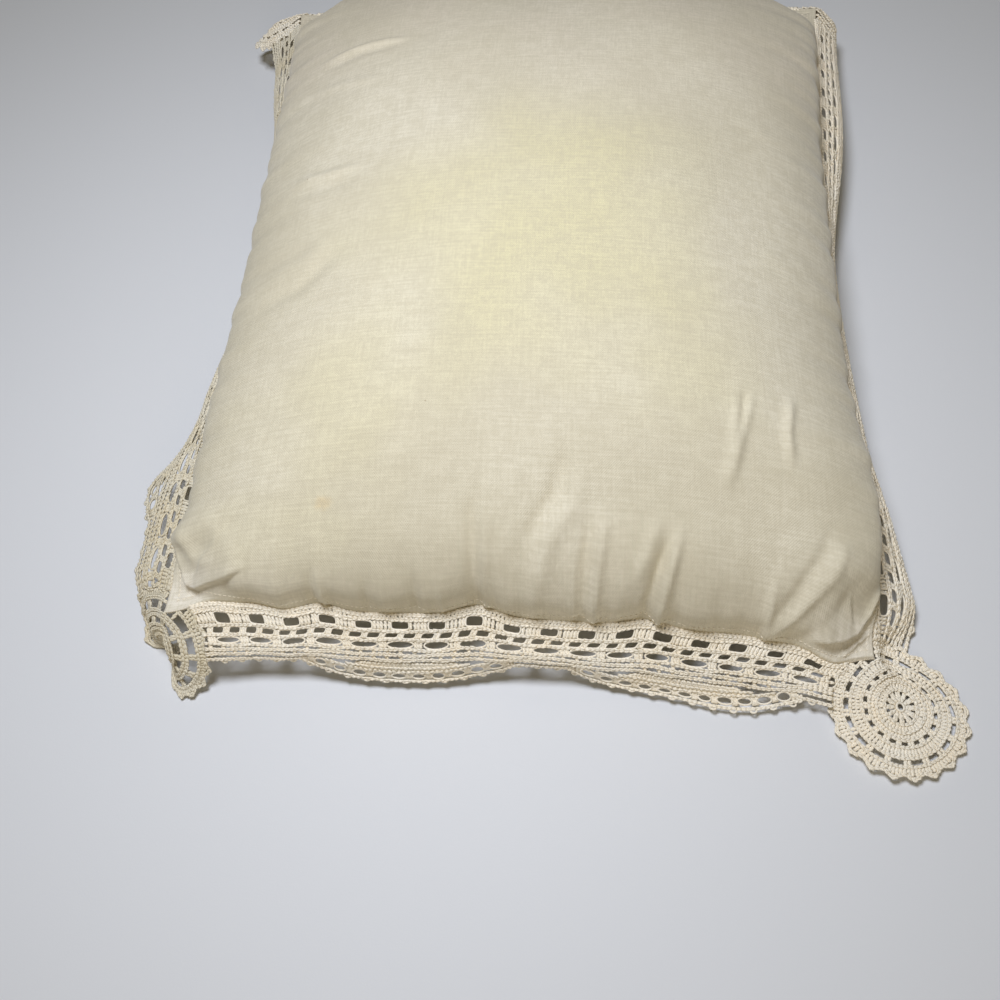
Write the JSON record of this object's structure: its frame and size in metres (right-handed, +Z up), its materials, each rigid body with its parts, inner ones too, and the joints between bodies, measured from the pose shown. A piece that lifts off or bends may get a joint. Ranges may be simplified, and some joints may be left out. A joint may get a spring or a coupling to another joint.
{
  "type": "cushion cover",
  "caption": "Filled rectangular cushion cover with a plain cotton back and a crochet filet edging with scallops and a round medallion at each corner.",
  "frame": {"origin": "middle of the flat patch of the underside that the cushion rests on", "axes": "+Z up out of the cotton back, +Y along the cushion's length towards its far end, +X across its width"},
  "size_m": [0.4807, 0.5823, 0.132],
  "materials": {
    "cotton": "plain-woven unbleached cotton, matt, with faint yellowed patches",
    "crochet": "ecru crochet cotton thread, about 1 mm thick, matt"
  },
  "bodies": {
    "root": {"cushion": "cotton", "edging_near": "crochet", "edging_right": "crochet", "edging_far": "crochet", "edging_left": "crochet", "medallion_near_left": "crochet", "medallion_near_right": "crochet", "medallion_far_right": "crochet", "medallion_far_left": "crochet"}
  },
  "joints": []
}
